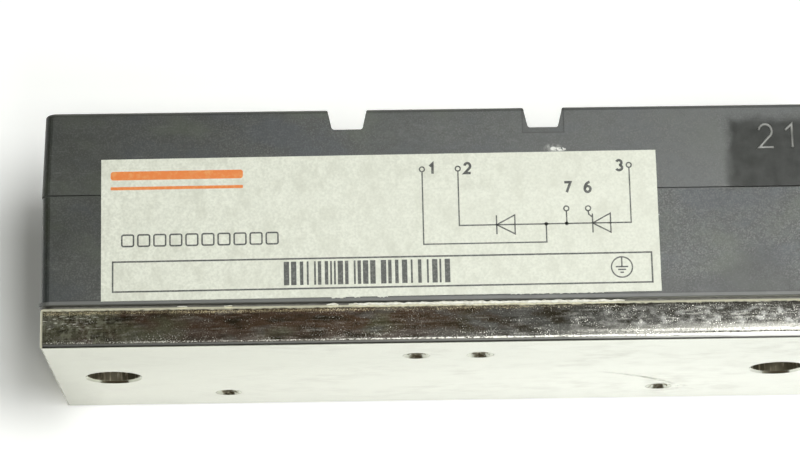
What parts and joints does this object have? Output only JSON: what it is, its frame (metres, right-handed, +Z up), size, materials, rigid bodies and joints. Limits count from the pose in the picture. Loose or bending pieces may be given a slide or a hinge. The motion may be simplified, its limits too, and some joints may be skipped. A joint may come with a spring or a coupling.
{
  "type": "thyristor module",
  "caption": "Flat power semiconductor module with a nickel-plated base plate, a black moulded housing, a paper side label, screw terminals in a row on top and push-on gate tabs.",
  "frame": {"origin": "centre of the base plate's heat sink face", "axes": "+X along the length towards the gate tabs, -Y towards the label side, +Z up to the terminals"},
  "size_m": [0.0948, 0.0342, 0.03],
  "materials": {
    "nickel_plate": "bright nickel plating on copper",
    "adhesive": "dark silicone adhesive",
    "housing_plastic": "fine-textured black moulding",
    "label_paper": "off-white printed label",
    "label_ink": "dark grey print",
    "label_accent": "orange print",
    "terminal_metal": "nickel-plated copper strip",
    "nut_steel": "zinc-plated steel",
    "tab_metal": "tin-plated brass",
    "insulator_ceramic": "ground ceramic",
    "molybdenum": "lapped molybdenum",
    "silicon": "polished silicon",
    "pad_plastic": "glass-filled insulating moulding",
    "spring_steel": "phosphated spring steel",
    "clamp_steel": "zinc-plated steel",
    "sleeve_plastic": "natural insulating tube",
    "white_lead": "white silicone wire",
    "red_lead": "red silicone wire"
  },
  "bodies": {
    "root": {"base_plate": "nickel_plate", "base_seal": "adhesive", "lower_housing": "housing_plastic", "upper_housing": "housing_plastic", "side_label": "label_paper", "busbar_1": "terminal_metal", "busbar_2": "terminal_metal", "busbar_3": "terminal_metal", "terminal_nuts": "nut_steel", "gate_tab": "tab_metal", "cathode_tab": "tab_metal", "insulator_left": "insulator_ceramic", "insulator_right": "insulator_ceramic", "moly_disc_left": "molybdenum", "moly_disc_right": "molybdenum", "diode_wafer": "silicon", "thyristor_wafer": "silicon", "pressure_pad_left": "pad_plastic", "pressure_pad_right": "pad_plastic", "lower_spring_left": "spring_steel", "lower_spring_right": "spring_steel", "upper_spring_left": "spring_steel", "upper_spring_right": "spring_steel", "clamp_bridge_left": "clamp_steel", "clamp_bridge_right": "clamp_steel", "clamp_screws": "clamp_steel", "screw_sleeve_left_inner": "sleeve_plastic", "screw_sleeve_left_outer": "sleeve_plastic", "screw_sleeve_right_inner": "sleeve_plastic", "screw_sleeve_right_outer": "sleeve_plastic", "gate_pin": "tab_metal", "gate_bush": "sleeve_plastic", "gate_spring": "spring_steel", "gate_lead": "white_lead", "cathode_lead": "red_lead"}
  },
  "joints": []
}
